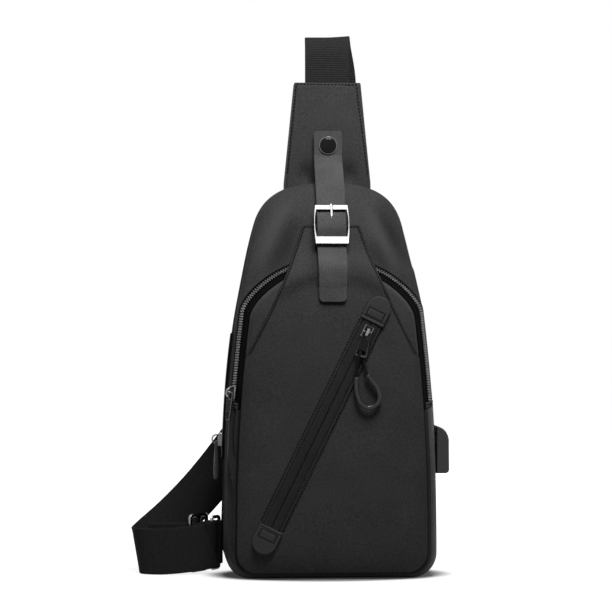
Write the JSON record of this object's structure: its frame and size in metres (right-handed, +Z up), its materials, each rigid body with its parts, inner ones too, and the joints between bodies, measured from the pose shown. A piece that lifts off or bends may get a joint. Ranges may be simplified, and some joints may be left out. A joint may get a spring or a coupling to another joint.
{
  "type": "sling bag",
  "caption": "Upright dark cloth sling bag with an arched main zip, slanted front pocket zip, buckled closure strap with a press stud, webbing shoulder strap and a USB port.",
  "frame": {"origin": "on the floor at the middle of the base", "axes": "+X to the bag's right side as seen from the front, -Y out of the front, +Z up"},
  "size_m": [0.261, 0.1104, 0.4515],
  "materials": {
    "body_gusset": "matte coated cloth",
    "back_panel": "matte coated cloth",
    "back_pad": "matte woven",
    "inner_pocket": "matte coated cloth",
    "front_lining": "matte woven",
    "left_gore": "matte coated cloth",
    "right_gore": "matte coated cloth",
    "front_panel": "matte coated cloth",
    "lower_gusset": "matte coated cloth",
    "zip_end_tab_left": "matte coated cloth",
    "zip_end_tab_right": "matte coated cloth",
    "pocket_welt_left": "matte coated cloth",
    "pocket_welt_right": "matte coated cloth",
    "pocket_tab_top": "matte coated cloth",
    "pocket_tab_bottom": "matte coated cloth",
    "neck_front": "matte coated cloth",
    "neck_back": "matte coated cloth",
    "main_zip_tape": "matte woven",
    "side_zip_tape": "matte woven",
    "pocket_zip_chain": "matte woven",
    "pull_cord": "matte woven",
    "shoulder_strap": "matte woven",
    "strap_tab": "matte woven",
    "side_zip_pull": "matte synthetic leather",
    "buckle_tab": "matte synthetic leather",
    "closure_strap_tail": "matte synthetic leather",
    "closure_strap_upper": "matte synthetic leather",
    "main_zip_pull": "black nickel plated",
    "main_zip_slider": "black nickel plated",
    "side_zip_slider": "black nickel plated",
    "pocket_zip_slider": "black nickel plated",
    "pocket_zip_pull": "black nickel plated",
    "strap_adjuster": "black nickel plated",
    "strap_ring": "black nickel plated",
    "snap_cap": "black nickel plated",
    "buckle_frame": "bright plated",
    "buckle_prong": "bright plated",
    "snap_socket": "bright plated",
    "snap_stud": "bright plated",
    "snap_washer": "bright plated",
    "usb_socket_shell": "bright plated",
    "main_zip_chain": "dark moulded teeth",
    "side_zip_chain": "dark moulded teeth",
    "base_board": "moulded",
    "usb_back_plate": "moulded",
    "usb_tongue": "moulded",
    "usb_housing": "satin",
    "pull_sleeve": "satin",
    "neck_core": "foam"
  },
  "bodies": {
    "bag": {"body_gusset": "body_gusset", "back_panel": "back_panel", "back_pad": "back_pad", "inner_pocket": "inner_pocket", "front_lining": "front_lining", "left_gore": "left_gore", "right_gore": "right_gore", "front_panel": "front_panel", "lower_gusset": "lower_gusset", "zip_end_tab_left": "zip_end_tab_left", "zip_end_tab_right": "zip_end_tab_right", "pocket_welt_left": "pocket_welt_left", "pocket_welt_right": "pocket_welt_right", "pocket_tab_top": "pocket_tab_top", "pocket_tab_bottom": "pocket_tab_bottom", "neck_front": "neck_front", "neck_back": "neck_back", "main_zip_tape": "main_zip_tape", "side_zip_tape": "side_zip_tape", "pocket_zip_chain": "pocket_zip_chain", "shoulder_strap": "shoulder_strap", "strap_tab": "strap_tab", "buckle_tab": "buckle_tab", "closure_strap_tail": "closure_strap_tail", "strap_ring": "strap_ring", "buckle_frame": "buckle_frame", "snap_stud": "snap_stud", "snap_washer": "snap_washer", "usb_socket_shell": "usb_socket_shell", "main_zip_chain": "main_zip_chain", "side_zip_chain": "side_zip_chain", "base_board": "base_board", "usb_back_plate": "usb_back_plate", "usb_tongue": "usb_tongue", "usb_housing": "usb_housing", "neck_core": "neck_core"},
    "pocket_slider": {"pocket_zip_slider": "pocket_zip_slider"},
    "pocket_pull": {"pocket_zip_pull": "pocket_zip_pull"},
    "pull_loop": {"pull_cord": "pull_cord", "pull_sleeve": "pull_sleeve"},
    "main_slider": {"main_zip_slider": "main_zip_slider"},
    "main_pull": {"main_zip_pull": "main_zip_pull"},
    "side_slider": {"side_zip_slider": "side_zip_slider"},
    "side_pull": {"side_zip_pull": "side_zip_pull"},
    "prong": {"buckle_prong": "buckle_prong"},
    "closure_flap": {"closure_strap_upper": "closure_strap_upper", "snap_cap": "snap_cap", "snap_socket": "snap_socket"},
    "adjuster": {"strap_adjuster": "strap_adjuster"}
  },
  "joints": [
    {"name": "pocket_zip_slide", "type": "slide", "parent": "bag", "child": "pocket_slider", "axis": [-0.4392, 0, -0.8984], "range_m": [0, 0.14]},
    {"name": "pocket_pull_swing", "type": "hinge", "parent": "pocket_slider", "child": "pocket_pull", "pos_m": [0.02737, -0.04905, 0.20156], "axis": [-0.961, 0, 0.2765], "range_deg": [0, 120]},
    {"name": "pull_loop_swing", "type": "hinge", "parent": "pocket_pull", "child": "pull_loop", "pos_m": [0.02192, -0.04905, 0.18263], "axis": [-1, 0, 0], "range_deg": [0, 60]},
    {"name": "main_zip_slide", "type": "slide", "parent": "bag", "child": "main_slider", "axis": [0.0823, -0.0075, 0.9966], "range_m": [0, 0.042]},
    {"name": "main_pull_swing", "type": "hinge", "parent": "main_slider", "child": "main_pull", "pos_m": [-0.08314, -0.03133, 0.15232], "axis": [-0.5832, 0.8105, 0.0542], "range_deg": [0, 120]},
    {"name": "side_zip_slide", "type": "slide", "parent": "bag", "child": "side_slider", "axis": [0.0632, 0, 0.998], "range_m": [0, 0.05]},
    {"name": "side_pull_swing", "type": "hinge", "parent": "side_slider", "child": "side_pull", "pos_m": [-0.0938, 0.012, 0.11185], "axis": [0, 1, 0], "range_deg": [0, 120]},
    {"name": "buckle_prong_swing", "type": "hinge", "parent": "bag", "child": "prong", "pos_m": [0, -0.02387, 0.28769], "axis": [1, 0, 0], "range_deg": [0, 8]},
    {"name": "closure_strap_lift", "type": "hinge", "parent": "bag", "child": "closure_flap", "pos_m": [0, -0.01657, 0.30895], "axis": [1, 0, 0], "range_deg": [0, 90]},
    {"name": "strap_adjuster_slide", "type": "slide", "parent": "bag", "child": "adjuster", "axis": [-1, 0, 0], "range_m": [0, 0.026]}
  ]
}
